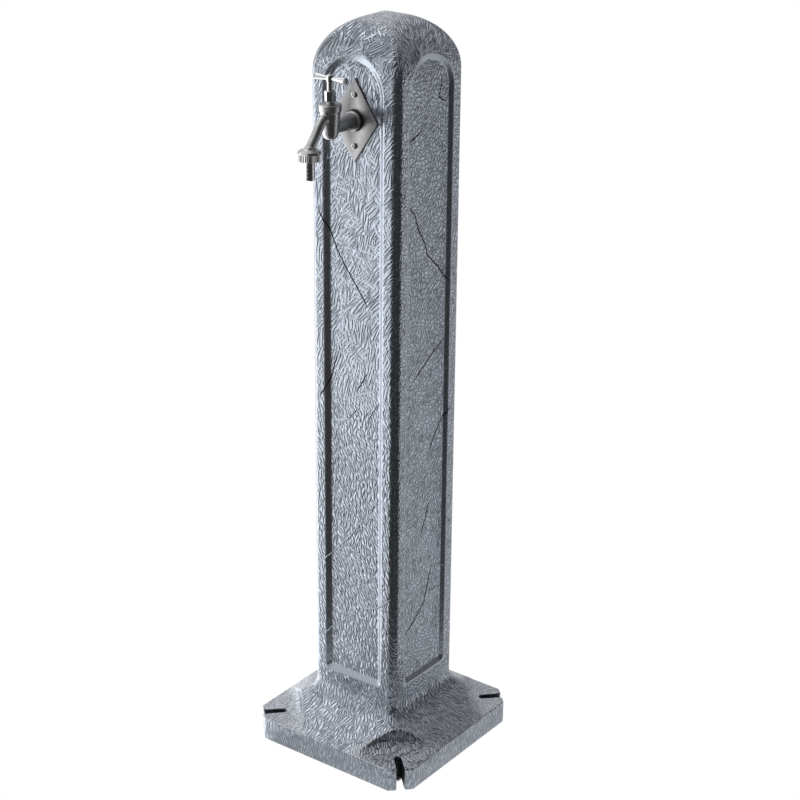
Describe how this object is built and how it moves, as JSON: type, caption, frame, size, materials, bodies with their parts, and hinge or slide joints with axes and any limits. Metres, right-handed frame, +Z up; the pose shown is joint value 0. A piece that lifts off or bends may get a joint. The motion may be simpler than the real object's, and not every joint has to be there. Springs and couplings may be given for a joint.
{
  "type": "garden standpipe",
  "caption": "Free-standing moulded garden water post with a screw-down bib tap, T-handle and hose union on its front face.",
  "frame": {"origin": "centre of the square base at ground level", "axes": "+Z up along the post, tap and hose union towards -Y, +X to the right when facing the tap"},
  "size_m": [0.262, 0.298, 1],
  "materials": {
    "moulded_plastic": "silver-grey metallic plastic, moulded with a leather-like wrinkle grain",
    "stainless_plate": "finely brushed stainless sheet",
    "zinc_screws": "bright zinc",
    "satin_chrome": "satin chrome over a fine casting",
    "bright_chrome": "polished chrome",
    "brass": "plain turned brass",
    "black_rubber": "black rubber",
    "fibre": "red vulcanised fibre",
    "clamp_steel": "stainless band",
    "hose": "dark green hose"
  },
  "bodies": {
    "post": {"post_shell": "moulded_plastic", "tap_plate": "stainless_plate", "plate_screws": "zinc_screws", "tap_seal": "black_rubber", "tap_locknut": "brass", "tap_body": "satin_chrome", "headgear_washer": "fibre", "headgear": "satin_chrome", "gland_packing": "black_rubber", "gland_nut": "bright_chrome", "wall_elbow": "brass", "upper_clamp": "clamp_steel", "supply_hose": "hose", "lower_clamp": "clamp_steel", "inlet_elbow": "brass", "inlet_seal": "black_rubber", "inlet_locknut": "brass", "inlet_nipple": "brass", "nipple_oring": "black_rubber"},
    "valve": {"jumper": "brass", "valve_washer": "black_rubber", "jumper_nut": "brass"},
    "handle": {"spindle": "bright_chrome", "t_handle": "bright_chrome", "handle_screw": "zinc_screws"},
    "tail": {"hose_tail": "bright_chrome", "tail_washer": "black_rubber"},
    "union_nut": {"union_nut": "bright_chrome"}
  },
  "joints": [
    {"name": "valve_lift", "type": "slide", "parent": "post", "child": "valve", "axis": [0, 0, 1], "range_m": [0, 0.00501]},
    {"name": "handle_turn", "type": "hinge", "parent": "valve", "child": "handle", "pos_m": [0, -0.112, 0.92], "axis": [0, 0, 1], "range_deg": [0, 720]},
    {"name": "tail_drop", "type": "slide", "parent": "post", "child": "tail", "axis": [0, 0, -1], "range_m": [0, 0.00455]},
    {"name": "union_nut_turn", "type": "hinge", "parent": "tail", "child": "union_nut", "pos_m": [0, -0.152, 0.855], "axis": [0, 0, -1], "range_deg": [0, 900]}
  ],
  "couplings": [
    {"joint": "valve_lift", "follows": "handle_turn", "m_per_rad": 0.00039789},
    {"joint": "tail_drop", "follows": "union_nut_turn", "m_per_rad": 0.00028871}
  ]
}
